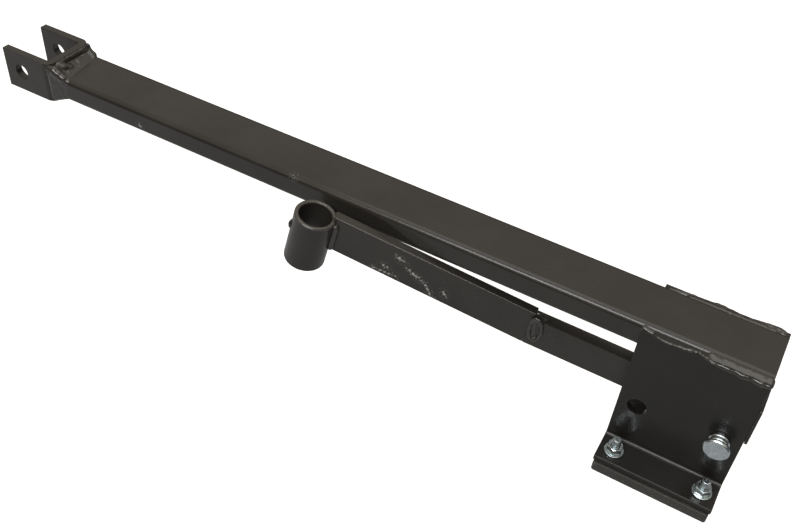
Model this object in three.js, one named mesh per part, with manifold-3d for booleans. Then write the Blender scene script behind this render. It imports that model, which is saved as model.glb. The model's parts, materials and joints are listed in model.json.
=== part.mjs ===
// Lever-operated door opener arm: a square tube with a clevis fork at one end and a bolt-on pivot
// bracket at the other, and a dog-leg lever with a handle socket that swings in the bracket.
// Millimetres. +X runs along the tube from the clevis to the bracket, +Z is up, and the origin is on
// the base plate's underside, halfway along it and in the middle plane of the clevis and the lever's pivot.
import * as THREE from "three";
import { mergeVertices } from "three/addons/utils/BufferGeometryUtils.js";
import Module from "manifold-3d";

const wasm = await Module();
wasm.setup();

// ---------- driving dimensions ----------
const GAP = 0.25; // clearance left between pieces that touch on the real object

// The tube, the bracket and the base plate share a middle plane a little behind the clevis's.
const MIDDLE = 2.1;
const TUBE = { width: 55, height: 25.4, wall: 3.2, corner: 6, top: 146.8, left: -674.9, right: 51.8 };
const TUBE_BOTTOM = TUBE.top - TUBE.height;

const FORK = { left: -737.2, right: -675.2, width: 59.2, plate: 7.7, bend: 10, edge: 0.7 };
const FORK_TOP = 159.3;
const FORK_BOTTOM = 115.8;
const FORK_HOLE = { x: -716, z: 138, radius: 8.2 };

// Distances across the bracket and the base plate are from the middle plane.
const BRACKET = { half: 52, plate: 5.55, nearTop: 144.8, farTop: 142.8, flangeTop: 16.3, flangeOut: 63.2 };
const PLATE_IN = TUBE.width / 2 + GAP;
const PLATE_OUT = PLATE_IN + BRACKET.plate;
const FLANGE_BOTTOM = BRACKET.flangeTop - BRACKET.plate;
const SPARE_HOLE = { x: -35, z: 61.8, radius: 8.5 };
const BRACE = { thick: 2.4, bottom: 72.8, top: 114.3 };

const BASE = { half: 51, halfWidth: 65.9, thick: FLANGE_BOTTOM - GAP, edge: 1.5 };
const BOLT = { x: 39, y: 49.6, shank: 4, head: 7.6, headDepth: 4.2, top: 32.8 };
const WASHER = { radius: 8.7, thick: 1.5 };
const NUT = { flats: 12.7, thick: 6.8, turns: [4, 21, 14, 40] };

const PIVOT = { x: 35, z: 66.3 };
const PIN = { radius: 7.95, head: 11.1, headThick: 3, stand: 12.8, dish: 9.5, dishDepth: 1, end: 46.7 };
const PIN_RING = { radius: 8.95, thick: 2.9, offsets: [2.1, 6.2] }; // offsets behind the head
const PIN_WASHER = { radius: 15, thick: 2.5 };
const COTTER = { wire: 1.5, along: 41.8, reach: 13.5 };
const BUSHING = { outer: 11.1, bore: 8.05 };

// The lever's inner bar carries the bushing; its outer bar is welded on with a second bend.
const INNER_BAR = { height: 33, thick: 12.4, yaw: 3.87, pitch: 4.2, edge: 1.2, end: -152 };
const OUTER_BAR = { height: 38.1, thick: 9.4, yaw: 8.83, pitch: 11.95, roll: 0.5, edge: 1.2 };
const OUTER_BAR_CORNER = [-237.2, -33.3, 122.4]; // a point on the near top edge
const OUTER_BAR_END = -139.9; // where the near face meets the inner bar
// The handle socket: its rim sits below the bar's top edge, and its axis a little to the near side.
const SOCKET = { radius: 19.1, bore: 15.1, length: 55.2, below: 5, along: 109.6, offset: -5.8 };
const SOCKET_Y = OUTER_BAR.thick / 2 + SOCKET.offset;
const SOCKET_WELD = { length: 30, thick: 3.9, wide: 4.2 };
const JOINT_WELD = { x: -137.6, y: -18.2, bottom: 65.5, length: 34, thick: 2.6, wide: 6 };

// ---------- materials ----------
const COLOUR = { paint: 0x403d39, paintWeld: 0x4c4a47, zinc: 0xb4bac0, steel: 0x8d8f90 };
const paint = () =>
  new THREE.MeshStandardMaterial({ color: COLOUR.paint, roughness: 0.38, metalness: 0.1 });
const weldPaint = () =>
  new THREE.MeshStandardMaterial({ color: COLOUR.paintWeld, roughness: 0.22, metalness: 0.1 });
const zinc = () => new THREE.MeshStandardMaterial({ color: COLOUR.zinc, roughness: 0.3, metalness: 0.9 });
const steel = () => new THREE.MeshStandardMaterial({ color: COLOUR.steel, roughness: 0.4, metalness: 0.9 });

// ---------- geometry helpers ----------
const DEG = Math.PI / 180;

// Axis orders that turn an extrusion along +Z into one along +X or -Y.
const ALONG_X = new THREE.Matrix4().set(0, 0, 1, 0, 1, 0, 0, 0, 0, 1, 0, 0, 0, 0, 0, 1);
const ALONG_MINUS_Y = new THREE.Matrix4().set(1, 0, 0, 0, 0, 0, -1, 0, 0, 1, 0, 0, 0, 0, 0, 1);

function extrude(shape, length, bevel = 0, curveSegments = 4) {
  const geometry = new THREE.ExtrudeGeometry(shape, {
    depth: length - 2 * bevel,
    curveSegments,
    bevelEnabled: bevel > 0,
    bevelThickness: bevel,
    bevelSize: bevel,
    bevelOffset: -bevel,
    bevelSegments: 2,
  });
  return geometry.translate(0, 0, bevel);
}

// A prism along X from a shape drawn in (y, z).
function prismX(shape, x0, x1, bevel = 0, curveSegments = 4) {
  return extrude(shape, x1 - x0, bevel, curveSegments).applyMatrix4(ALONG_X).translate(x0, 0, 0);
}

// A prism along Y from a shape drawn in (x, z).
function prismY(shape, y0, y1, bevel = 0, curveSegments = 4) {
  return extrude(shape, y1 - y0, bevel, curveSegments).applyMatrix4(ALONG_MINUS_Y).translate(0, y1, 0);
}

function roundedRect(x0, y0, x1, y1, r) {
  const s = new THREE.Shape();
  s.moveTo(x0 + r, y0);
  s.lineTo(x1 - r, y0);
  s.absarc(x1 - r, y0 + r, r, -Math.PI / 2, 0, false);
  s.lineTo(x1, y1 - r);
  s.absarc(x1 - r, y1 - r, r, 0, Math.PI / 2, false);
  s.lineTo(x0 + r, y1);
  s.absarc(x0 + r, y1 - r, r, Math.PI / 2, Math.PI, false);
  s.lineTo(x0, y0 + r);
  s.absarc(x0 + r, y0 + r, r, Math.PI, 1.5 * Math.PI, false);
  return s;
}

function cylinderY(x, z, radius, y0, y1, segments = 48) {
  return new THREE.CylinderGeometry(radius, radius, y1 - y0, segments).translate(x, (y0 + y1) / 2, z);
}

function cylinderZ(x, y, radius, z0, z1, segments = 32) {
  const geometry = new THREE.CylinderGeometry(radius, radius, z1 - z0, segments);
  return geometry.rotateX(Math.PI / 2).translate(x, y, (z0 + z1) / 2);
}

// A turned piece: [radius, height] points from the axis and back to it, or a closed loop for a ring.
function turned(points, segments = 48) {
  return new THREE.LatheGeometry(points.map(([r, h]) => new THREE.Vector2(r, h)), segments);
}

// A flat ring with its outer edges broken by a small chamfer, along +Y from 0.
function ringProfile(inner, outer, thick, chamfer) {
  return [
    [inner, 0],
    [outer - chamfer, 0],
    [outer, chamfer],
    [outer, thick - chamfer],
    [outer - chamfer, thick],
    [inner, thick],
    [inner, 0],
  ];
}

function toSolid(geometry) {
  const bare = geometry.clone();
  bare.deleteAttribute("normal");
  bare.deleteAttribute("uv");
  const merged = mergeVertices(bare, 1e-4);
  return new wasm.Manifold(
    new wasm.Mesh({
      numProp: 3,
      vertProperties: merged.attributes.position.array,
      triVerts: new Uint32Array(merged.index.array),
    }),
  );
}

function toGeometry(solid) {
  const mesh = solid.getMesh();
  const geometry = new THREE.BufferGeometry();
  geometry.setAttribute("position", new THREE.BufferAttribute(new Float32Array(mesh.vertProperties), 3));
  geometry.setIndex(new THREE.BufferAttribute(new Uint32Array(mesh.triVerts), 1));
  const flat = geometry.toNonIndexed();
  flat.computeVertexNormals();
  return flat;
}

// The first geometry less all the others, keeping the largest piece that is left.
function cut(geometry, ...tools) {
  let solid = toSolid(geometry);
  for (const tool of tools) solid = solid.subtract(toSolid(tool));
  const pieces = solid.decompose().sort((a, b) => b.volume() - a.volume());
  return toGeometry(pieces[0]);
}

function mesh(name, geometry, material) {
  const made = new THREE.Mesh(geometry, material);
  made.name = name;
  return made;
}

// A weld bead along +X: an ellipse whose size ripples from pass to pass and tapers at both ends.
function bead(length, radiusY, radiusZ, options) {
  const { ripples, ripple = 0.1, rings, sides = 10, phase = 0 } = options;
  const positions = [];
  const index = [];
  for (let i = 0; i <= rings; i += 1) {
    const t = i / rings;
    const taper = Math.min(1, Math.sqrt(Math.max(0, Math.sin(Math.PI * t)) * 2.6) + 0.12);
    const swell = Math.sin(2 * Math.PI * ripples * t + phase) + 0.5 * Math.sin(11 * t + phase);
    const wave = 1 + ripple * swell;
    for (let j = 0; j < sides; j += 1) {
      const angle = (2 * Math.PI * j) / sides;
      const y = Math.cos(angle) * radiusY * taper * wave;
      const z = Math.sin(angle) * radiusZ * taper * wave;
      positions.push(t * length, y, z);
    }
  }
  const first = positions.length / 3;
  positions.push(0, 0, 0, length, 0, 0);
  for (let i = 0; i < rings; i += 1) {
    for (let j = 0; j < sides; j += 1) {
      const a = i * sides + j;
      const b = i * sides + ((j + 1) % sides);
      index.push(a, b, a + sides, b, b + sides, a + sides);
    }
  }
  for (let j = 0; j < sides; j += 1) {
    const next = (j + 1) % sides;
    index.push(first, next, j);
    index.push(first + 1, rings * sides + j, rings * sides + next);
  }
  const geometry = new THREE.BufferGeometry();
  geometry.setAttribute("position", new THREE.Float32BufferAttribute(positions, 3));
  geometry.setIndex(index);
  return geometry;
}

// ---------- solids that several pieces share ----------
function tubeHull(grow = 0) {
  const half = TUBE.width / 2 + grow;
  const shape = roundedRect(
    MIDDLE - half, TUBE_BOTTOM - grow, MIDDLE + half, TUBE.top + grow, TUBE.corner + grow,
  );
  return prismX(shape, TUBE.left - grow, TUBE.right + grow, 0, 7);
}

function forkShape(grow = 0) {
  const half = FORK.width / 2 + grow;
  const inner = FORK.width / 2 - FORK.plate - grow;
  const innerBend = Math.max(0.5, FORK.bend - FORK.plate - grow);
  const outerBend = FORK.bend + grow;
  const left = FORK.left - grow;
  const right = FORK.right + grow;
  const web = FORK.right - FORK.plate - grow;
  const s = new THREE.Shape();
  s.moveTo(left, -half);
  s.lineTo(right - outerBend, -half);
  s.absarc(right - outerBend, -half + outerBend, outerBend, -Math.PI / 2, 0, false);
  s.lineTo(right, half - outerBend);
  s.absarc(right - outerBend, half - outerBend, outerBend, 0, Math.PI / 2, false);
  s.lineTo(left, half);
  s.lineTo(left, inner);
  s.lineTo(web - innerBend, inner);
  s.absarc(web - innerBend, inner - innerBend, innerBend, Math.PI / 2, 0, true);
  s.lineTo(web, -inner + innerBend);
  s.absarc(web - innerBend, -inner + innerBend, innerBend, 0, -Math.PI / 2, true);
  s.lineTo(left, -inner);
  s.closePath();
  return s;
}

function forkHull(grow = 0) {
  const height = FORK_TOP - FORK_BOTTOM + 2 * grow;
  return extrude(forkShape(grow), height, grow ? 0 : FORK.edge, 7).translate(0, 0, FORK_BOTTOM - grow);
}

// The angle section of the side plate at -Y, in (y, z): a tall leg and a foot turned outwards.
function angleShape(top) {
  const toe = 0.9;
  const fillet = 4;
  const s = new THREE.Shape();
  s.moveTo(-BRACKET.flangeOut + 0.6, FLANGE_BOTTOM);
  s.lineTo(-PLATE_IN, FLANGE_BOTTOM);
  s.lineTo(-PLATE_IN, top);
  s.lineTo(-PLATE_OUT, top);
  s.lineTo(-PLATE_OUT, BRACKET.flangeTop + fillet);
  s.absarc(-PLATE_OUT - fillet, BRACKET.flangeTop + fillet, fillet, 0, -Math.PI / 2, true);
  s.lineTo(-BRACKET.flangeOut + toe, BRACKET.flangeTop);
  s.absarc(-BRACKET.flangeOut + toe, BRACKET.flangeTop - toe, toe, Math.PI / 2, Math.PI, false);
  s.lineTo(-BRACKET.flangeOut, FLANGE_BOTTOM + 0.6);
  s.closePath();
  return s;
}

// Turns a bar drawn along +X, with +Z its height and +Y its thickness, to its place in the part.
function barMatrix(corner, { yaw, pitch, roll = 0 }) {
  const along = new THREE.Vector3(1, Math.tan(yaw * DEG), -Math.tan(pitch * DEG)).normalize();
  const up = new THREE.Vector3(0, Math.sin(roll * DEG), Math.cos(roll * DEG));
  up.addScaledVector(along, -up.dot(along)).normalize();
  const across = new THREE.Vector3().crossVectors(up, along);
  const matrix = new THREE.Matrix4().makeBasis(along, across, up);
  return matrix.setPosition(...corner);
}

const part = new THREE.Group();
const frame = new THREE.Group();
const lever = new THREE.Group();
part.add(frame, lever);

// ---------- main tube and clevis ----------
{
  const side = TUBE.width / 2;
  const outer = roundedRect(MIDDLE - side, TUBE_BOTTOM, MIDDLE + side, TUBE.top, TUBE.corner);
  const half = side - TUBE.wall;
  const bore = TUBE.corner - TUBE.wall;
  const [low, high] = [TUBE_BOTTOM + TUBE.wall, TUBE.top - TUBE.wall];
  outer.holes.push(roundedRect(MIDDLE - half, low, MIDDLE + half, high, bore));
  frame.add(mesh("main_tube", prismX(outer, TUBE.left, TUBE.right, 0.3, 7), paint()));

  const eyes = cylinderY(FORK_HOLE.x, FORK_HOLE.z, FORK_HOLE.radius, -40, 40);
  frame.add(mesh("clevis_fork", cut(forkHull(), eyes), paint()));
}

// ---------- clevis welds ----------
{
  const neighbours = [tubeHull(GAP), forkHull(GAP)];
  const topBead = (grow) => {
    const run = bead(49, 9.5 + grow, 7.5 + grow, { ripples: 5, ripple: 0.12, rings: 34, phase: 1 });
    return run.rotateZ(Math.PI / 2).translate(-674.2, -25, 147.2);
  };
  frame.add(mesh("clevis_weld_top", cut(topBead(0), ...neighbours), weldPaint()));

  for (const [name, side, phase] of [["near", -1, 0.5], ["far", 1, 2.2]]) {
    const run = bead(27, 4.6, 10, { ripples: 4, ripple: 0.07, rings: 22, phase });
    run.rotateY(-Math.PI / 2).translate(-672.5, MIDDLE + side * 27.7, 117);
    frame.add(mesh(`clevis_weld_${name}`, cut(run, ...neighbours, topBead(GAP)), weldPaint()));
  }
}

// ---------- bracket side plates ----------
const BOLT_PLACES = [-1, 1].flatMap((x) => [-1, 1].map((y) => [x * BOLT.x, MIDDLE + y * BOLT.y]));
const PLATE_HOLES = [
  cylinderY(PIVOT.x, PIVOT.z, PIN.radius + 0.15, -80, 80),
  cylinderY(SPARE_HOLE.x, SPARE_HOLE.z, SPARE_HOLE.radius, -80, 80),
  ...BOLT_PLACES.map(([x, y]) => cylinderZ(x, y, BOLT.shank + 0.3, -5, 20)),
];
for (const [name, side, top] of [["near", -1, BRACKET.nearTop], ["far", 1, BRACKET.farTop]]) {
  const angle = prismX(angleShape(top), -BRACKET.half, BRACKET.half, 0.5);
  if (side > 0) angle.rotateZ(Math.PI);
  angle.translate(0, MIDDLE, 0);
  frame.add(mesh(`${name}_side_plate`, cut(angle, ...PLATE_HOLES), paint()));

  const run = bead(101, 4.4, 3.1, { ripples: 13, ripple: 0.12, rings: 52, sides: 10, phase: side });
  run.translate(-50.5, MIDDLE + side * 29.9, top + 0.3);
  const ledge = new THREE.BoxGeometry(2 * BRACKET.half + 1, BRACKET.plate + 2 * GAP, 100);
  ledge.translate(0, MIDDLE + (side * (PLATE_IN + PLATE_OUT)) / 2, top + GAP - 50);
  frame.add(mesh(`${name}_plate_weld`, cut(run, tubeHull(GAP), ledge), weldPaint()));
}

{
  const strap = roundedRect(MIDDLE - PLATE_OUT, BRACE.bottom, MIDDLE + PLATE_OUT, BRACE.top, 2.5);
  const x0 = BRACKET.half + GAP;
  frame.add(mesh("end_brace", prismX(strap, x0, x0 + BRACE.thick, 0.5), paint()));
}

// ---------- base plate, bolts, washers and nuts ----------
{
  const outline = roundedRect(-BASE.half, MIDDLE - BASE.halfWidth, BASE.half, MIDDLE + BASE.halfWidth, 2);
  const r = BOLT.shank + 0.3;
  const head = BOLT.head + 0.4;
  const countersinks = BOLT_PLACES.map(([x, y]) => {
    const profile = [[0, -1], [head, -1], [head, 0.4], [r, BOLT.headDepth + 0.5], [r, 20], [0, 20]];
    const sink = turned(profile, 24);
    return sink.rotateX(Math.PI / 2).translate(x, y, 0);
  });
  frame.add(mesh("base_plate", cut(extrude(outline, BASE.thick, BASE.edge), ...countersinks), paint()));
}

const boltProfile = [
  [0, 0.1],
  [BOLT.head, 0.1],
  [BOLT.head, 0.5],
  [BOLT.shank, BOLT.headDepth],
  [BOLT.shank, BOLT.top - 0.8],
  [BOLT.shank - 0.8, BOLT.top],
  [0, BOLT.top],
];

function nutGeometry() {
  const rim = NUT.flats / Math.sqrt(3);
  const hexagon = new THREE.CylinderGeometry(rim, rim, NUT.thick, 6);
  hexagon.translate(0, NUT.thick / 2, 0);
  const cone = 0.9;
  const flat = NUT.flats / 2 - 0.2;
  const domed = turned(
    [
      [0, 0],
      [flat, 0],
      [rim + 0.1, cone],
      [rim + 0.1, NUT.thick - cone],
      [flat, NUT.thick],
      [0, NUT.thick],
    ],
    24,
  );
  const solid = toSolid(hexagon).intersect(toSolid(domed));
  const bore = new THREE.CylinderGeometry(BOLT.shank + 0.15, BOLT.shank + 0.15, 20, 24);
  return toGeometry(solid.subtract(toSolid(bore)));
}

BOLT_PLACES.forEach(([x, y], i) => {
  const stack = new THREE.Group();
  stack.position.set(x, y, 0);
  stack.rotation.x = Math.PI / 2;
  const washerAt = BRACKET.flangeTop + GAP;
  const washer = turned(ringProfile(BOLT.shank + 0.35, WASHER.radius, WASHER.thick, 0.3), 28);
  const boltMesh = mesh(`base_bolt_${i + 1}`, turned(boltProfile, 24), zinc());
  const washerMesh = mesh(`base_washer_${i + 1}`, washer, zinc());
  const nutMesh = mesh(`base_nut_${i + 1}`, nutGeometry(), zinc());
  washerMesh.position.y = washerAt;
  nutMesh.position.y = washerAt + WASHER.thick + 0.1;
  nutMesh.rotation.y = NUT.turns[i] * DEG;
  stack.add(boltMesh, washerMesh, nutMesh);
  frame.add(stack);
});

// ---------- pivot pin ----------
{
  const face = MIDDLE - PLATE_OUT - PIN.stand;
  const profile = [
    [0, face + PIN.dishDepth],
    [PIN.dish - 0.8, face + PIN.dishDepth],
    [PIN.dish, face],
    [PIN.head - 0.6, face],
    [PIN.head, face + 0.6],
    [PIN.head, face + PIN.headThick - 0.5],
    [PIN.head - 0.5, face + PIN.headThick],
    [PIN.radius, face + PIN.headThick],
    [PIN.radius, PIN.end - 1.2],
    [PIN.radius - 1.2, PIN.end],
    [0, PIN.end],
  ];
  const crossHole = cylinderZ(0, COTTER.along, COTTER.wire + 0.4, -30, 30, 20);
  const pin = cut(turned(profile, 48), crossHole).translate(PIVOT.x, 0, PIVOT.z);
  frame.add(mesh("pivot_pin", pin, zinc()));

  PIN_RING.offsets.forEach((offset, i) => {
    const start = face + PIN.headThick + offset;
    const r = PIN_RING.radius;
    const half = PIN_RING.thick / 2;
    const crown = [0, 1, 2, 3, 4].map((k) => {
      const angle = -Math.PI / 2 + (k * Math.PI) / 4;
      return [r - half * 0.6 + half * 0.6 * Math.cos(angle), half + half * Math.sin(angle)];
    });
    const inner = PIN.radius + 0.1;
    const ring = turned([[inner, 0], ...crown, [inner, PIN_RING.thick], [inner, 0]], 40);
    frame.add(mesh(`pin_ring_${i + 1}`, ring.translate(PIVOT.x, start, PIVOT.z), zinc()));
  });

  const washer = turned(ringProfile(PIN.radius + 0.2, PIN_WASHER.radius, PIN_WASHER.thick, 0.4), 36);
  frame.add(mesh("pin_washer", washer.translate(PIVOT.x, MIDDLE + PLATE_OUT + GAP, PIVOT.z), zinc()));

  // The split pin: one leg down through the cross hole and turned up on each side.
  const wire = new THREE.Shape().absarc(0, 0, COTTER.wire, 0, 2 * Math.PI, false);
  const route = new THREE.CatmullRomCurve3([
    new THREE.Vector3(0, 0, COTTER.reach),
    new THREE.Vector3(0, 0, 10),
    new THREE.Vector3(0, 0, 3),
    new THREE.Vector3(0, 0, -4),
    new THREE.Vector3(0, 0, -10.5),
    new THREE.Vector3(1.8, 0, -12.6),
    new THREE.Vector3(6.5, 0, -13.2),
  ]);
  const leg = new THREE.ExtrudeGeometry(wire, { steps: 18, extrudePath: route, curveSegments: 8 });
  leg.translate(PIVOT.x, COTTER.along, PIVOT.z);
  frame.add(mesh("cotter_pin", leg, steel()));
}

// ---------- lever ----------
// The bars are placed by the near top edge of each, and the bushing by the pivot.
const outerBarMatrix = barMatrix(OUTER_BAR_CORNER, OUTER_BAR);
const outerBarSlope = new THREE.Vector3().setFromMatrixColumn(outerBarMatrix, 0);
const outerBarLength = (OUTER_BAR_END - OUTER_BAR_CORNER[0]) / outerBarSlope.x;
const socketAlong = -SOCKET.along;
const outerBarStart = socketAlong + SOCKET.radius + GAP; // where the near face meets the socket
const COPE = 4; // how far the bar's far side reaches round the socket

const innerBarMatrix = barMatrix([0, 0, 0], INNER_BAR);
const innerAlong = new THREE.Vector3().setFromMatrixColumn(innerBarMatrix, 0);
innerBarMatrix.setPosition(PIVOT.x, 0, PIVOT.z);
const innerBarLeft = (INNER_BAR.end - PIVOT.x) / innerAlong.x;

// The space on the outer bar's side of the cut between the two bars.
const outerBarSide = new THREE.BoxGeometry(400, 200, 300)
  .translate(outerBarLength + GAP - 200, 0, 0)
  .applyMatrix4(outerBarMatrix);

function innerBarSolid(grow = 0) {
  const half = INNER_BAR.height / 2 + grow;
  const side = INNER_BAR.thick / 2 + grow;
  const s = new THREE.Shape();
  s.moveTo(innerBarLeft, -half);
  s.lineTo(0, -half);
  s.absarc(0, 0, half, -Math.PI / 2, Math.PI / 2, false);
  s.lineTo(innerBarLeft, half);
  s.closePath();
  return prismY(s, -side, side, INNER_BAR.edge, 16).applyMatrix4(innerBarMatrix);
}

{
  const seat = cylinderY(PIVOT.x, PIVOT.z, BUSHING.outer + GAP, -60, 60, 48);
  lever.add(mesh("lever_inner_bar", cut(innerBarSolid(), seat, outerBarSide), paint()));

  const sleeve = ringProfile(BUSHING.bore, BUSHING.outer, 2 * (PLATE_IN - 0.4), 0.6);
  const bushing = turned(sleeve, 48).translate(PIVOT.x, MIDDLE - (PLATE_IN - 0.4), PIVOT.z);
  lever.add(mesh("pivot_bushing", bushing, steel()));
}

function outerBarSolid(grow = 0) {
  const section = roundedRect(
    -grow, -OUTER_BAR.height - grow, OUTER_BAR.thick + grow, grow, OUTER_BAR.edge + grow,
  );
  return prismX(section, outerBarStart - COPE - grow, outerBarLength + grow, grow ? 0 : 0.8);
}

{
  const outerBar = new THREE.Group();
  outerBar.applyMatrix4(outerBarMatrix);
  lever.add(outerBar);

  const wall = turned(
    [
      [SOCKET.bore, 0.8],
      [SOCKET.bore + 0.8, 0],
      [SOCKET.radius - 1, 0],
      [SOCKET.radius, 1],
      [SOCKET.radius, SOCKET.length - 1.2],
      [SOCKET.radius - 1.2, SOCKET.length],
      [SOCKET.bore + 1, SOCKET.length],
      [SOCKET.bore, SOCKET.length - 1],
      [SOCKET.bore, 0.8],
    ],
    80,
  );
  wall.rotateX(Math.PI / 2).translate(socketAlong, SOCKET_Y, -SOCKET.below - SOCKET.length);
  outerBar.add(mesh("socket_tube", wall, paint()));

  const socketHull = cylinderZ(
    socketAlong, SOCKET_Y, SOCKET.radius + GAP, -SOCKET.below - SOCKET.length - 2, 2 - SOCKET.below, 80,
  );
  outerBar.add(mesh("lever_outer_bar", cut(outerBarSolid(), socketHull), paint()));

  for (const [name, y, phase] of [["near", -1.8, 0], ["far", OUTER_BAR.thick + 1.4, 2]]) {
    const { length, wide, thick } = SOCKET_WELD;
    const run = bead(length, wide, thick, { ripples: 5, rings: 24, phase });
    run.rotateY(-Math.PI / 2).translate(outerBarStart + 0.6, y, -OUTER_BAR.height + 1);
    outerBar.add(mesh(`socket_weld_${name}`, cut(run, outerBarSolid(GAP), socketHull), weldPaint()));
  }
}

// The weld up the near face where the two bars meet.
{
  const bars = [outerBarSolid(GAP).applyMatrix4(outerBarMatrix), innerBarSolid(GAP)];
  const { x, y, bottom, length, wide, thick } = JOINT_WELD;
  const run = bead(length, wide, thick, { ripples: 5, ripple: 0.08, rings: 22 });
  run.rotateZ(Math.PI / 2).rotateX(Math.PI / 2).translate(x, y, bottom);
  lever.add(mesh("lever_joint_weld", cut(run, ...bars), weldPaint()));
}

export default part;
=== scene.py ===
"""A lever-operated door opener arm: painted tube, clevis, pivot bracket and lever, with zinc hardware."""

import json
import math
import random

import bmesh
import bpy
from mathutils import Matrix, Vector, noise


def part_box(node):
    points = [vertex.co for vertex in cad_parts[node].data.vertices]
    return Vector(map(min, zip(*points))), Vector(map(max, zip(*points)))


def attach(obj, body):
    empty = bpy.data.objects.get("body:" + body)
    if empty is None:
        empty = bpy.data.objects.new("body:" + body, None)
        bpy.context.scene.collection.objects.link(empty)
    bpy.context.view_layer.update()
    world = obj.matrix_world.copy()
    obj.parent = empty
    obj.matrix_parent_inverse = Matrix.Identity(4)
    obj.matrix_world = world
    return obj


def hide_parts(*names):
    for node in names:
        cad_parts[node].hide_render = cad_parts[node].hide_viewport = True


MM = 0.001

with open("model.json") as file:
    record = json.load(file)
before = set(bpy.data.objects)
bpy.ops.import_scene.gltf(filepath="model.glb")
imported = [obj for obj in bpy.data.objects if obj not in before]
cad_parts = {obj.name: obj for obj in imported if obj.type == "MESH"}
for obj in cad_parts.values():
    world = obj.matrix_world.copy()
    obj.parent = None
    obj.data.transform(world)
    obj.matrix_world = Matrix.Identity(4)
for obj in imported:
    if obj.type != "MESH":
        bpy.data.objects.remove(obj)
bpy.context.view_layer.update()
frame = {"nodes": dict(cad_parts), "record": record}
NODES = frame["nodes"]


# ---------- shader helpers ----------
def node(tree, kind, inputs=None, **settings):
    """A shader node whose inputs are given by name or number, each a constant or a node's output."""
    made = tree.nodes.new(kind)
    for key, value in settings.items():
        setattr(made, key, value)
    for socket, value in (inputs or {}).items():
        if isinstance(value, bpy.types.NodeSocket):
            tree.links.new(value, made.inputs[socket])
        else:
            made.inputs[socket].default_value = value
    return made


def blank_material(name):
    """A new material, its node tree and its shader."""
    material = bpy.data.materials.new(name)
    material.use_nodes = True
    tree = material.node_tree
    return material, tree, tree.nodes["Principled BSDF"]


def speckle(tree, place, scale, detail=2.0, rough=0.5):
    """Noise from 0 to 1 whose features are about 1/scale metres across."""
    settings = {"Vector": place, "Scale": scale, "Detail": detail, "Roughness": rough}
    return node(tree, "ShaderNodeTexNoise", settings).outputs["Fac"]


def stretch(tree, value, low, high, out_low=0.0, out_high=1.0):
    """A value's range from low to high, moved to out_low to out_high and cut off at its ends."""
    limits = {"Value": value, "From Min": low, "From Max": high, "To Min": out_low, "To Max": out_high}
    return node(tree, "ShaderNodeMapRange", limits).outputs["Result"]


def blend(tree, factor, first, second):
    """A colour between two, from the first at 0 to the second at 1."""
    made = node(tree, "ShaderNodeMix", {0: factor, 6: first, 7: second}, data_type="RGBA")
    return made.outputs[2]


def maths(tree, operation, *values):
    """The result of a Math node on numbers or other nodes' outputs."""
    made = node(tree, "ShaderNodeMath", dict(enumerate(values)), operation=operation)
    return made.outputs["Value"]


def opaque(*rgb):
    """A colour with full alpha."""
    return (*rgb, 1.0)


def vector_maths(tree, operation, *values, output="Vector"):
    """The result of a Vector Math node on vectors or other nodes' outputs."""
    made = node(tree, "ShaderNodeVectorMath", dict(enumerate(values)), operation=operation)
    return made.outputs[output]


def finish_shader(tree, shader, colour, rough, height, strength, distance):
    """Gives a shader its colour, its roughness and a bump that is so many metres high."""
    bump = node(tree, "ShaderNodeBump", {"Height": height, "Strength": strength, "Distance": distance})
    tree.links.new(colour, shader.inputs["Base Color"])
    tree.links.new(rough, shader.inputs["Roughness"])
    tree.links.new(bump.outputs["Normal"], shader.inputs["Normal"])


def stroke_distance(tree, place, first, second):
    """Metres from the point being shaded to the line between two points given in millimetres."""
    start = Vector(first) * MM
    run = Vector(second) * MM - start
    away = vector_maths(tree, "SUBTRACT", place, tuple(start))
    share = vector_maths(tree, "DOT_PRODUCT", away, tuple(run / run.length_squared), output="Value")
    share = stretch(tree, share, 0.0, 1.0)
    nearest = node(tree, "ShaderNodeVectorMath", {0: tuple(run), "Scale": share}, operation="SCALE")
    return vector_maths(tree, "DISTANCE", away, nearest.outputs["Vector"], output="Value")


def scratches(tree, place, strokes):
    """From 0 to 1 where paint is scratched off. Each stroke is two (x, y, z) ends and a half width, in
    millimetres; its outline is ragged, it breaks up along its length and it has flecks beside it."""
    ragged = stretch(tree, speckle(tree, place, 480.0, 4.0, 0.7), 0.25, 0.75, -1.6 * MM, 1.6 * MM)
    broken = stretch(tree, speckle(tree, place, 420.0, 3.0, 0.6), 0.45, 0.53)
    flecks = stretch(tree, speckle(tree, place, 900.0, 3.0, 0.6), 0.60, 0.65)
    total = None
    for first, second, half_width in strokes:
        away = stroke_distance(tree, place, first, second)
        edge = maths(tree, "ADD", away, ragged)
        inside = stretch(tree, edge, half_width * MM, half_width * 0.45 * MM)
        line = maths(tree, "MULTIPLY", inside, broken)
        beside = stretch(tree, away, (half_width + 5.0) * MM, half_width * MM)
        mark = maths(tree, "MAXIMUM", line, maths(tree, "MULTIPLY", beside, flecks))
        total = mark if total is None else maths(tree, "MAXIMUM", total, mark)
    return total


# Scales of the noise in the paint and the plating, in features per metre.
PATCHES, MOTTLE, GLOSS_PATCHES, CHIPS, PEEL, GRAINS = 16.0, 420.0, 55.0, 620.0, 750.0, 2600.0
CLOUDS, STAINS, DULL_SPOTS = 240.0, 900.0, 520.0
SCRATCHED = (0.54, 0.54, 0.52)
WORN_DARK, WORN_LIGHT = (0.075, 0.068, 0.06), (0.15, 0.14, 0.125)


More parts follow.
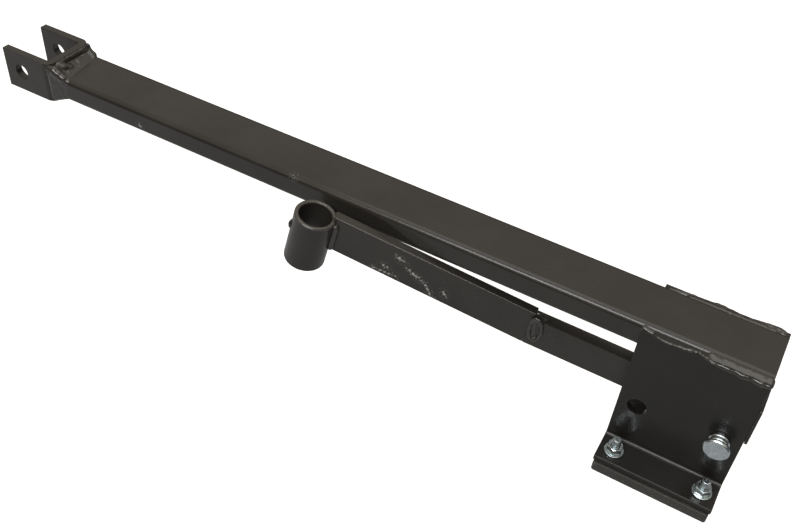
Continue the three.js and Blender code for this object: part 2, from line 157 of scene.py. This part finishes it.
def paint_material(name, dark, light, roughness, wear=0.0, marks=(), coat=0.35, grit=1.0):
    """Satin paint over steel: broad shade patches, fine mottle, orange peel, grit, and chips
    where it is worn."""
    material, tree, shader = blank_material(name)
    place = node(tree, "ShaderNodeTexCoord").outputs["Object"]
    broad = stretch(tree, speckle(tree, place, PATCHES, 3.0), 0.35, 0.65)
    fine = stretch(tree, speckle(tree, place, MOTTLE, 4.0, 0.65), 0.3, 0.7)
    shade = maths(tree, "MULTIPLY_ADD", broad, 0.6, maths(tree, "MULTIPLY", fine, 0.4))
    colour = blend(tree, shade, opaque(*dark), opaque(*light))

    rough_patches = speckle(tree, place, GLOSS_PATCHES, 4.0, 0.6)
    rough = stretch(tree, rough_patches, 0.3, 0.7, roughness - 0.05, roughness + 0.07)

    if wear:
        chips = speckle(tree, place, CHIPS, 5.0, 0.7)
        chipped = stretch(tree, chips, 0.66 - wear, 0.72 - wear)
        bare = blend(tree, fine, opaque(*WORN_DARK), opaque(*WORN_LIGHT))
        colour = blend(tree, chipped, colour, bare)
    if marks:
        scuffed = scratches(tree, place, marks)
        colour = blend(tree, maths(tree, "MULTIPLY", scuffed, 0.8), colour, opaque(*SCRATCHED))
        rough = maths(tree, "MAXIMUM", rough, maths(tree, "MULTIPLY", scuffed, 0.7))

    peel = speckle(tree, place, PEEL, 2.0)
    grains = speckle(tree, place, GRAINS / grit, 3.0, 0.6)
    height = maths(tree, "MULTIPLY_ADD", grains, 0.35 * grit, peel)
    finish_shader(tree, shader, colour, rough, height, 0.32, 0.12 * MM)
    shader.inputs["Specular IOR Level"].default_value = 0.42
    shader.inputs["Coat Weight"].default_value = coat
    shader.inputs["Coat Roughness"].default_value = 0.16
    return material


def metal_material(name, dark, light, roughness, grain, bump_depth):
    """Plated or bare steel: cloudy tint, fine grain, and dull patches."""
    material, tree, shader = blank_material(name)
    place = node(tree, "ShaderNodeTexCoord").outputs["Object"]
    cloud = stretch(tree, speckle(tree, place, CLOUDS, 4.0, 0.6), 0.35, 0.68)
    colour = blend(tree, cloud, opaque(*dark), opaque(*light))
    stain = stretch(tree, speckle(tree, place, STAINS, 5.0, 0.7), 0.6, 0.75)
    colour = blend(tree, maths(tree, "MULTIPLY", stain, 0.25), colour, opaque(0.3, 0.29, 0.26))
    spots = speckle(tree, place, DULL_SPOTS, 3.0)
    rough = stretch(tree, spots, 0.3, 0.7, roughness - 0.04, roughness + 0.06)
    height = speckle(tree, place, grain, 4.0, 0.65)
    finish_shader(tree, shader, colour, rough, height, 0.35, bump_depth)
    shader.inputs["Metallic"].default_value = 1.0
    return material


# Scratches on the lever's outer bar and the tube, each as two ends and a half width in millimetres.
BAR_SCRATCHES = [
    ((-258.0, -36.7, 108.4), (-248.9, -35.3, 102.3), 1.25),
    ((-248.9, -35.3, 102.3), (-241.2, -34.1, 98.6), 1.3),
    ((-241.2, -34.1, 98.6), (-237.4, -33.6, 91.7), 1.3),
    ((-237.4, -33.6, 91.7), (-233.4, -33.0, 85.0), 1.1),
    ((-266.0, -37.9, 117.6), (-262.0, -37.3, 115.8), 1.9),
    ((-279.4, -40.1, 104.0), (-276.4, -39.6, 102.2), 1.8),
    ((-289.7, -41.8, 98.0), (-266.6, -38.2, 95.2), 0.7),
    ((-223.0, -31.4, 94.6), (-220.6, -31.0, 90.2), 1.0),
]
TUBE_SCRATCHES = [
    ((-566.8, -25.4, 129.8), (-565.6, -25.4, 129.0), 1.5),
    ((-386.4, -24.9, 145.4), (-385.0, -24.9, 145.2), 1.2),
]

DARK, LIGHT = (0.0175, 0.0155, 0.0130), (0.0290, 0.0257, 0.0216)
PAINT = paint_material("satin_paint", DARK, LIGHT, 0.31, marks=TUBE_SCRATCHES)
# The side plates and the end brace are the same paint as the tube; their darker copy of it is painted
# shade.
SHADED_PLATE_PAINT = paint_material(
    "shaded_plate_paint", (0.0095, 0.0086, 0.0074), (0.0160, 0.0146, 0.0126), 0.33, coat=0.15
)
# The lever's bars get a lighter copy of the satin paint: painted light that lifts their top faces out of
# the tube's shade. Its chips and scratches are real wear.
LIGHTENED_BAR_PAINT = paint_material(
    "scuffed_and_lightened_paint", DARK, (0.034, 0.030, 0.0256), 0.34, wear=0.02, marks=BAR_SCRATCHES
)
BASE_PAINT = paint_material(
    "grainy_paint", (0.022, 0.021, 0.019), (0.050, 0.047, 0.043), 0.30, wear=0.08, grit=2.2
)
# Lighter, glossier paint for every rounded edge: real edge wear, and also a painted highlight along the
# edges.
EDGE_WEAR_AND_HIGHLIGHT_PAINT = paint_material(
    "worn_edge_and_highlight_paint", (0.050, 0.045, 0.039), (0.11, 0.10, 0.088), 0.28, wear=0.12
)
WELD_PAINT = paint_material(
    "weld_paint", (0.020, 0.018, 0.0155), (0.040, 0.036, 0.031), 0.25, coat=0.8
)
ZINC = metal_material("zinc_plate", (0.54, 0.60, 0.62), (0.76, 0.83, 0.85), 0.25, 2400.0, 0.03 * MM)
STEEL = metal_material("bare_steel", (0.22, 0.22, 0.22), (0.48, 0.47, 0.45), 0.36, 1800.0, 0.06 * MM)


# ---------- mesh helpers ----------
def place_piece(name, mesh, cad_nodes, materials):
    """A new piece that stands for CAD nodes, rides on their body and takes the materials it is given."""
    piece = bpy.data.objects.new(name, mesh)
    bpy.context.scene.collection.objects.link(piece)
    for material in materials:
        mesh.materials.append(material)
    for polygon in mesh.polygons:
        polygon.use_smooth = True
    body = next(b for b, names in frame["record"]["behaviour"]["bodies"].items() if cad_nodes[0] in names)
    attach(piece, body)
    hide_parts(*cad_nodes)
    return piece


def finish_edges(cad_node, name, bevel, materials, segments=3, angle=28):
    """The CAD node's shape with its facets joined, its sharp edges rounded and its curved faces
    shaded smooth."""
    build = bmesh.new()
    build.from_mesh(NODES[cad_node].data)
    bmesh.ops.remove_doubles(build, verts=build.verts, dist=0.01 * MM)
    bmesh.ops.dissolve_limit(
        build,
        angle_limit=math.radians(0.6),
        verts=build.verts,
        edges=build.edges,
        use_dissolve_boundaries=False,
    )
    mesh = bpy.data.meshes.new(name)
    build.to_mesh(mesh)
    build.free()
    for leftover in ("custom_normal", "sharp_face", "sharp_edge"):
        if leftover in mesh.attributes:
            mesh.attributes.remove(mesh.attributes[leftover])
    mesh.materials.clear()
    piece = place_piece(name, mesh, [cad_node], materials)
    round_over = piece.modifiers.new("round_over", "BEVEL")
    round_over.width = bevel * MM
    round_over.segments = segments
    round_over.limit_method = "ANGLE"
    round_over.angle_limit = math.radians(angle)
    # The rounded edges take the last material given; for the steelwork that is the edge paint, which is
    # edge wear plus a painted highlight.
    round_over.material = len(materials) - 1
    normals = piece.modifiers.new("normals", "WEIGHTED_NORMAL")
    normals.keep_sharp = True


def turn(name, cad_nodes, profile, centre, axis, materials, segments=96):
    """A turned piece: (radius, height) points in millimetres round an axis. A loop that returns
    to its start is a ring."""
    closed = profile[0] == profile[-1]
    points = profile[:-1] if closed else profile
    build = bmesh.new()
    rings = []
    for radius, height in points:
        if radius == 0:
            rings.append([build.verts.new((0, 0, height * MM))] * segments)
            continue
        ring = []
        for k in range(segments):
            angle = 2 * math.pi * k / segments
            at = (radius * MM * math.cos(angle), radius * MM * math.sin(angle), height * MM)
            ring.append(build.verts.new(at))
        rings.append(ring)
    for i in range(len(rings) if closed else len(rings) - 1):
        first, second = rings[i], rings[(i + 1) % len(rings)]
        for k in range(segments):
            around = (k + 1) % segments
            corners = [first[k], first[around], second[around], second[k]]
            build.faces.new(list(dict.fromkeys(corners)))
    bmesh.ops.recalc_face_normals(build, faces=build.faces)
    turned_to = Vector((0, 0, 1)).rotation_difference(Vector(axis)).to_matrix().to_4x4()
    build.transform(Matrix.Translation(Vector(centre) * MM) @ turned_to)
    mesh = bpy.data.meshes.new(name)
    build.to_mesh(mesh)
    build.free()
    piece = place_piece(name, mesh, cad_nodes, materials)
    normals = piece.modifiers.new("normals", "WEIGHTED_NORMAL")
    normals.weight = 60


def arc(centre_r, centre_h, radius, start, end, steps=5):
    """Profile points round a corner, from one angle to another in degrees."""
    angles = [math.radians(start + (end - start) * k / steps) for k in range(steps + 1)]
    return [(centre_r + radius * math.cos(a), centre_h + radius * math.sin(a)) for a in angles]


def along(points, count):
    """Evenly spaced stations on a chain of (x, y, z, radius) points, as (position, radius) pairs."""
    lengths = [(Vector(b[:3]) - Vector(a[:3])).length for a, b in zip(points, points[1:])]
    total = sum(lengths)
    stations = []
    for k in range(count):
        left = total * k / (count - 1)
        step = 0
        while step < len(lengths) - 1 and left > lengths[step]:
            left -= lengths[step]
            step += 1
        share = min(1.0, left / lengths[step])
        mixed = Vector(points[step]).lerp(Vector(points[step + 1]), share)
        stations.append((mixed.xyz, mixed.w))
    return stations


def unit_ball():
    """The points and faces of a ball of radius 1."""
    build = bmesh.new()
    bmesh.ops.create_icosphere(build, subdivisions=2, radius=1.0)
    points = [vertex.co.copy() for vertex in build.verts]
    faces = [[vertex.index for vertex in face.verts] for face in build.faces]
    build.free()
    return points, faces


BALL_POINTS, BALL_FACES = unit_ball()

# The weld's surface noise, as pairs of a scale per metre and a height in millimetres.
WELD_RIPPLES = [(260, 0.3), (800, 0.05)]


def rows(first, last, count, spacing=2.0, uneven=0.025):
    """Runs of drops that step evenly from one chain of (x, y, z, radius) points to another."""
    runs = []
    for k in range(count):
        share = k / (count - 1)
        chain = [tuple(a + (b - a) * share for a, b in zip(p, q)) for p, q in zip(first, last)]
        runs.append((chain, spacing, uneven))
    return runs


def weld(name, cad_nodes, runs, seed, voxel=0.6, smoothing=8):
    """A weld bead: rows of overlapping drops fused into one skin. Each run is a chain of
    (x, y, z, radius) points in millimetres with the spacing and the unevenness of its drops."""
    rng = random.Random(seed)
    points, faces = [], []
    for chain, spacing, uneven in runs:
        length = sum((Vector(b[:3]) - Vector(a[:3])).length for a, b in zip(chain, chain[1:]))
        for centre, radius in along(chain, max(2, round(length / spacing))):
            size = radius * (1 + uneven * rng.uniform(-1, 1))
            nudge = Vector([rng.uniform(-1, 1) * uneven * radius * 0.9 for _ in range(3)])
            first = len(points)
            points += [(centre + nudge + point * size) * MM for point in BALL_POINTS]
            faces += [[first + corner for corner in face] for face in BALL_FACES]
    raw = bpy.data.meshes.new(name + "_drops")
    raw.from_pydata(points, [], faces)
    helper = bpy.data.objects.new(name + "_drops", raw)
    bpy.context.scene.collection.objects.link(helper)
    fuse = helper.modifiers.new("fuse", "REMESH")
    fuse.mode = "VOXEL"
    fuse.voxel_size = voxel * MM
    settle = helper.modifiers.new("settle", "SMOOTH")
    settle.factor = 0.6
    settle.iterations = smoothing
    graph = bpy.context.evaluated_depsgraph_get()
    mesh = bpy.data.meshes.new_from_object(helper.evaluated_get(graph))
    bpy.data.objects.remove(helper)
    bpy.data.meshes.remove(raw)
    mesh.name = name
    mesh.materials.clear()
    for vertex in mesh.vertices:
        height = sum(noise.noise(vertex.co * scale) * rise for scale, rise in WELD_RIPPLES)
        vertex.co += vertex.normal * height * MM
    place_piece(name, mesh, cad_nodes, [WELD_PAINT])


# ---------- welds ----------
# The clevis: a fillet up the back of the web, a swelling down each side and a glossy crest at the
# near corner.
weld(
    "clevis_weld_finished",
    ["clevis_weld_top", "clevis_weld_near", "clevis_weld_far"],
    [
        *rows([(-673.6, -24, 148.4, 4.1), (-673.6, 26, 148.2, 4.1)],
              [(-660, -20, 142.8, 4.4), (-665, 20, 142.6, 4.4)], 7),
        ([(-682.0, -24.0, 154.4, 4.6), (-674.5, -24.5, 152.6, 5.2),
          (-664.0, -23.5, 145.6, 4.5)], 2.0, 0.08),
        ([(-676.0, -17.5, 154.8, 4.2), (-671.5, -14.5, 151.4, 4.5),
          (-670.0, -8.0, 148.6, 4.2)], 2.0, 0.08),
        ([(-676.2, -16.0, 155.4, 3.6), (-676.2, 20.0, 155.4, 3.6),
          (-679.0, 25.6, 154.4, 4.4)], 1.8, 0.03),
        ([(-678.4, 25.8, 154.0, 4.6), (-675.0, 24.5, 149.5, 4.6),
          (-668.0, 23.0, 145.4, 4.3)], 1.8, 0.05),
        *rows([(-677.5, -24.4, 149, 5.2), (-677.5, -24.4, 121.8, 5.2)],
              [(-659, -22.2, 143, 3.7), (-659, -22.2, 127.4, 3.7)], 8),
        ([(-677.5, 25.2, 150, 4.7), (-677.5, 25.2, 121.6, 4.7)], 2.2, 0.04),
        ([(-671.0, 25.6, 147, 4.6), (-671.0, 25.6, 126.0, 4.6)], 2.2, 0.06),
    ],
    seed=3,
    smoothing=26,
)
# The near plate: a thin bead along the left half of its top edge and a fat one along the right half.
weld(
    "near_plate_weld_finished",
    ["near_plate_weld"],
    [
        ([(-50.5, -27.2, 141.6, 2.7), (4, -27.3, 141.8, 2.8)], 1.5, 0.03),
        ([(-50.5, -27.0, 144.4, 3.2), (-44.0, -27.6, 143.6, 3.0)], 1.2, 0.06),
        ([(-40, -30.4, 144.0, 1.3), (-33, -31.0, 143.6, 1.5), (-25, -30.9, 143.7, 1.7),
          (-14, -30.2, 144.6, 1.7), (-6, -29.2, 145.2, 1.7), (0.5, -30.6, 144.4, 1.7),
          (8.8, -31.8, 142.8, 1.5)], 1.4, 0.22),
        *rows([(3, -25.0, 143.2, 3.2), (50, -25.0, 143.2, 3.4)],
              [(4, -28.2, 142.4, 3.2), (50, -28.2, 142.4, 3.4)], 4),
        ([(5, -29.0, 142.0, 2.8), (14, -29.4, 142.0, 3.1), (22, -29.3, 141.9, 2.8),
          (29, -29.9, 141.7, 3.3), (36, -29.2, 141.9, 2.8), (43, -29.8, 141.7, 3.3),
          (50, -29.2, 141.9, 3.0)], 1.3, 0.05),
    ],
    seed=11,
    smoothing=14,
)
weld(
    "far_plate_weld_finished",
    ["far_plate_weld"],
    [
        ([(-47, 30.4, 142.0, 2.6), (-38, 31.0, 142.4, 3.0), (-18, 31.0, 142.6, 3.4),
          (-5, 31.4, 142.9, 3.9), (8, 31.0, 142.6, 3.3), (20, 31.0, 142.5, 3.2),
          (32, 31.4, 142.9, 4.0), (43, 31.6, 142.9, 4.4), (48, 31.2, 142.4, 3.4)], 1.8, 0.04),
        ([(-30, 28.0, 143.8, 2.8), (10, 28.0, 144.2, 3.1), (40, 28.2, 143.8, 3.0)], 2.2, 0.06),
    ],
    seed=21,
)
# The bars' joint: an oval ring of weld on the near face with a dip inside it, a glossy cap at the
# ring's top, and a fill across the top edges.
weld(
    "lever_joint_weld_finished",
    ["lever_joint_weld"],
    [
        ([(-140.6, -16.4, 93.0, 2.8), (-139.0, -16.0, 72.5, 2.8)], 1.8, 0.03),
        ([(-136.4, -15.2, 93.0, 2.8), (-135.2, -15.0, 72.0, 2.8)], 1.8, 0.03),
        ([(-142.6, -18.8, 92.5, 1.9), (-143.6, -19.2, 82.0, 1.9), (-141.7, -18.8, 74.0, 2.0),
          (-137.8, -18.4, 71.2, 2.0), (-134.2, -18.0, 74.5, 1.9), (-132.4, -17.8, 83.0, 1.8),
          (-133.0, -18.0, 91.5, 1.9), (-136.0, -18.6, 95.6, 2.0), (-139.6, -19.0, 95.8, 2.1),
          (-142.6, -18.8, 92.5, 1.9)], 1.0, 0.07),
        ([(-142.0, -19.4, 96.0, 1.8), (-138.6, -20.0, 98.8, 2.0), (-135.6, -19.8, 98.0, 2.0),
          (-133.4, -19.0, 94.5, 1.8)], 1.0, 0.07),
        ([(-139.4, -14.4, 99.6, 3.0), (-131.0, -12.0, 94.6, 2.6)], 1.6, 0.05),
    ],
    seed=31,
    voxel=0.45,
    smoothing=9,
)
weld(
    "socket_weld_near_finished",
    ["socket_weld_near"],
    [
        ([(-325.6, -47.6, 130.5, 3.6), (-330.2, -48.5, 107.5, 3.6)], 1.6, 0.04),
        ([(-362.6, -61.0, 131, 1.9), (-363.8, -61.2, 126.5, 2.7),
          (-364.0, -60.8, 121.5, 1.9)], 1.2, 0.10),
    ],
    seed=41,
)
weld(
    "socket_weld_far_finished",
    ["socket_weld_far"],
    [([(-326.5, -38.0, 135.6, 3.9), (-333.0, -38.4, 105, 3.7)], 2.0, 0.06)],
    seed=43,
)

# ---------- painted steel ----------
STEELWORK = {
    "main_tube": (0.5, PAINT),
    "clevis_fork": (0.5, PAINT),
    "near_side_plate": (0.15, SHADED_PLATE_PAINT),
    "far_side_plate": (0.15, SHADED_PLATE_PAINT),
    "end_brace": (0.5, SHADED_PLATE_PAINT),
    "base_plate": (0.6, BASE_PAINT),
    "lever_inner_bar": (0.5, LIGHTENED_BAR_PAINT),
    "lever_outer_bar": (0.5, LIGHTENED_BAR_PAINT),
}
for cad_name, (bevel_width, finish) in STEELWORK.items():
    finish_edges(cad_name, cad_name + "_finished", bevel_width, [finish, EDGE_WEAR_AND_HIGHLIGHT_PAINT])

finish_edges("socket_tube", "socket_tube_finished", 0.6, [PAINT, EDGE_WEAR_AND_HIGHLIGHT_PAINT], angle=20)

# ---------- pivot pin and its rings ----------
PIVOT = (35.0, 0.0, 66.3)
ALONG_Y = (0, 1, 0)
HEAD = -44.0  # the pin head's face, along Y
PIN_RADIUS, PIN_END = 7.95, 46.7
RING_STARTS, RING_THICK = (HEAD + 5.1, HEAD + 9.2), 2.9
pin_profile = [
    (0, HEAD + 0.35),
    (9.0, HEAD + 0.35),
    (9.4, HEAD + 0.08),
    (9.8, HEAD),
    (10.1, HEAD + 0.15),
    (10.9, HEAD + 0.95),
    (11.1, HEAD + 1.3),
    *arc(10.4, HEAD + 2.3, 0.7, 0, 90),
    (8.2, HEAD + 3.0),
    (PIN_RADIUS, HEAD + 3.3),
    (PIN_RADIUS, PIN_END - 1.2),
    (6.8, PIN_END),
    (0, PIN_END),
]
turn("pivot_pin_finished", ["pivot_pin"], pin_profile, PIVOT, ALONG_Y, [ZINC])
for number, start in enumerate(RING_STARTS, 1):
    crown = arc(7.5, start + RING_THICK / 2, RING_THICK / 2, -90, 90, 12)
    loop = [(8.0, start), *crown, (8.0, start + RING_THICK), (8.0, start)]
    turn(f"pin_ring_{number}_finished", [f"pin_ring_{number}"], loop, PIVOT, ALONG_Y, [ZINC])

SMALL_STEEL = {
    "pin_washer": (0.3, "zinc", ZINC),
    "cotter_pin": (0.1, "steel", STEEL),
    "pivot_bushing": (0.4, "steel", STEEL),
}
for number in range(1, 5):
    SMALL_STEEL[f"base_washer_{number}"] = (0.25, "zinc", ZINC)
    SMALL_STEEL[f"base_nut_{number}"] = (0.28, "zinc", ZINC)
for cad_name, (bevel_width, slot_name, finish) in SMALL_STEEL.items():
    finish_edges(cad_name, cad_name + "_finished", bevel_width, [finish])


# ---------- threaded base bolts ----------
def threaded_bolt(name, cad_node, segments=36):
    """A countersunk bolt that points up, with a rolled thread on the length above the head."""
    lowest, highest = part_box(cad_node)
    axis_x, axis_y = (lowest.x + highest.x) / 2, (lowest.y + highest.y) / 2
    pitch, major, depth = 1.41, 3.97, 0.38
    tip = highest.z / MM
    thread_start, thread_end, taper_start = 8, tip - 0.5, tip - 1.4
    thread_steps = 150
    # Each level is a radius, a height and the depth of the thread there.
    levels = [(7.3, 0.1, 0), (7.6, 0.3, 0), (7.6, 0.5, 0), (4.0, 4.2, 0)]
    for k in range(thread_steps + 1):
        height = thread_start + (thread_end - thread_start) * k / thread_steps
        near_tip = max(0.0, height - taper_start)
        levels.append((major - 0.2 * near_tip, height, depth * (1 - near_tip * 0.6)))
    levels += [(3.55, tip - 0.15, 0), (3.3, tip, 0), (1.2, tip - 0.1, 0), (0.6, tip - 0.3, 0)]
    build = bmesh.new()
    grid = []
    for radius, height, cut in levels:
        ring = []
        for k in range(segments):
            turns = k / segments
            saw = abs(((height / pitch - turns) % 1.0) * 2 - 1)
            r = radius - cut * saw
            angle = 2 * math.pi * turns
            at = (axis_x + r * MM * math.cos(angle), axis_y + r * MM * math.sin(angle), height * MM)
            ring.append(build.verts.new(at))
        grid.append(ring)
    for first, second in zip(grid, grid[1:]):
        for k in range(segments):
            around = (k + 1) % segments
            build.faces.new([first[k], first[around], second[around], second[k]])
    build.faces.new(list(reversed(grid[0])))
    build.faces.new(grid[-1])
    mesh = bpy.data.meshes.new(name)
    build.to_mesh(mesh)
    build.free()
    place_piece(name, mesh, [cad_node], [ZINC])


for number in range(1, 5):
    threaded_bolt(f"base_bolt_{number}_finished", f"base_bolt_{number}")

# ---------- floor, light and camera ----------
FLOOR_REACH = 30
FLOOR_HEIGHT = -0.13  # the lever's socket swings 0.10 m below the base plate's underside
corners = [(x * FLOOR_REACH, y * FLOOR_REACH, 0) for x, y in ((-1, -1), (1, -1), (1, 1), (-1, 1))]
floor_mesh = bpy.data.meshes.new("floor")
floor_mesh.from_pydata(corners, [], [(0, 1, 2, 3)])
floor = bpy.data.objects.new("floor", floor_mesh)
floor.location.z = FLOOR_HEIGHT
bpy.context.scene.collection.objects.link(floor)
floor_material, _, floor_shader = blank_material("pale_floor")
floor_shader.inputs["Base Color"].default_value = opaque(0.9, 0.9, 0.9)
floor_shader.inputs["Roughness"].default_value = 0.9
floor_shader.inputs["Specular IOR Level"].default_value = 0.0
floor_shader.inputs["Emission Color"].default_value = opaque(1.0, 1.0, 1.0)
floor_shader.inputs["Emission Strength"].default_value = 0.62
floor_mesh.materials.append(floor_material)
floor.visible_glossy = False
floor.visible_diffuse = False

# The studio round the part, as (height of the direction from -1 to 1, brightness). It is warm above the
# horizon and cool below it, and the camera sees it white.
STUDIO = [
    (-1.0, 0.34), (-0.73, 0.38), (-0.62, 0.43), (-0.52, 0.49), (-0.35, 0.38), (-0.15, 0.06),
    (0.2, 0.06), (0.38, 0.3), (0.5, 0.5), (0.65, 0.52), (1.0, 0.5),
]
WARM, COOL = (1.0, 0.93, 0.81), (0.98, 0.98, 0.97)
world = bpy.data.worlds.new("studio")
bpy.context.scene.world = world
world.use_nodes = True
studio = world.node_tree
direction = node(studio, "ShaderNodeTexCoord").outputs["Generated"]
height = node(studio, "ShaderNodeSeparateXYZ", {"Vector": direction}).outputs["Z"]
ramp = node(studio, "ShaderNodeValToRGB", {"Fac": stretch(studio, height, -1.0, 1.0)})
while len(ramp.color_ramp.elements) < len(STUDIO):
    ramp.color_ramp.elements.new(0.5)
for stop, (up, brightness) in zip(ramp.color_ramp.elements, STUDIO):
    stop.position = (up + 1) / 2
    tint = WARM if up > 0 else COOL
    stop.color = opaque(*(brightness * share for share in tint))
seen = node(studio, "ShaderNodeLightPath").outputs["Is Camera Ray"]
background = studio.nodes["Background"]
shown = blend(studio, seen, ramp.outputs["Color"], opaque(0.97, 0.97, 0.97))
studio.links.new(shown, background.inputs["Color"])
background.inputs["Strength"].default_value = 1.0


def softbox(name, at, aim, width, depth, watts):
    """A rectangular light in metres and watts that faces the point it is aimed at."""
    light_data = bpy.data.lights.new(name, "AREA")
    light_data.shape = "RECTANGLE"
    light_data.size = width
    light_data.size_y = depth
    light_data.energy = watts
    light = bpy.data.objects.new(name, light_data)
    bpy.context.scene.collection.objects.link(light)
    light.location = at
    light.rotation_mode = "QUATERNION"
    light.rotation_quaternion = (Vector(aim) - Vector(at)).to_track_quat("-Z", "Y")


softbox("front", (-0.15, -1.3, 1.4), (-0.15, 0.0, 0.1), 1.4, 0.5, 18)
softbox("overhead", (-0.2, 0.2, 2.6), (-0.2, 0.0, 0.0), 2.4, 2.0, 16)

camera_data = bpy.data.cameras.new("camera")
camera = bpy.data.objects.new("camera", camera_data)
bpy.context.scene.collection.objects.link(camera)
CAMERA_AT = (0.00705, -0.58978, 0.67545)
RIGHT = Vector((0.86597, 0.49546, 0.06798))
UP = Vector((-0.38016, 0.56383, 0.73319))
turned = Matrix((RIGHT, UP, RIGHT.cross(UP))).transposed().to_4x4()
camera.matrix_world = Matrix.Translation(CAMERA_AT) @ turned
camera_data.lens = 42.79
camera_data.sensor_width = 36.0
camera_data.clip_start = 0.01
bpy.context.scene.camera = camera
bpy.context.scene.view_settings.view_transform = "Standard"
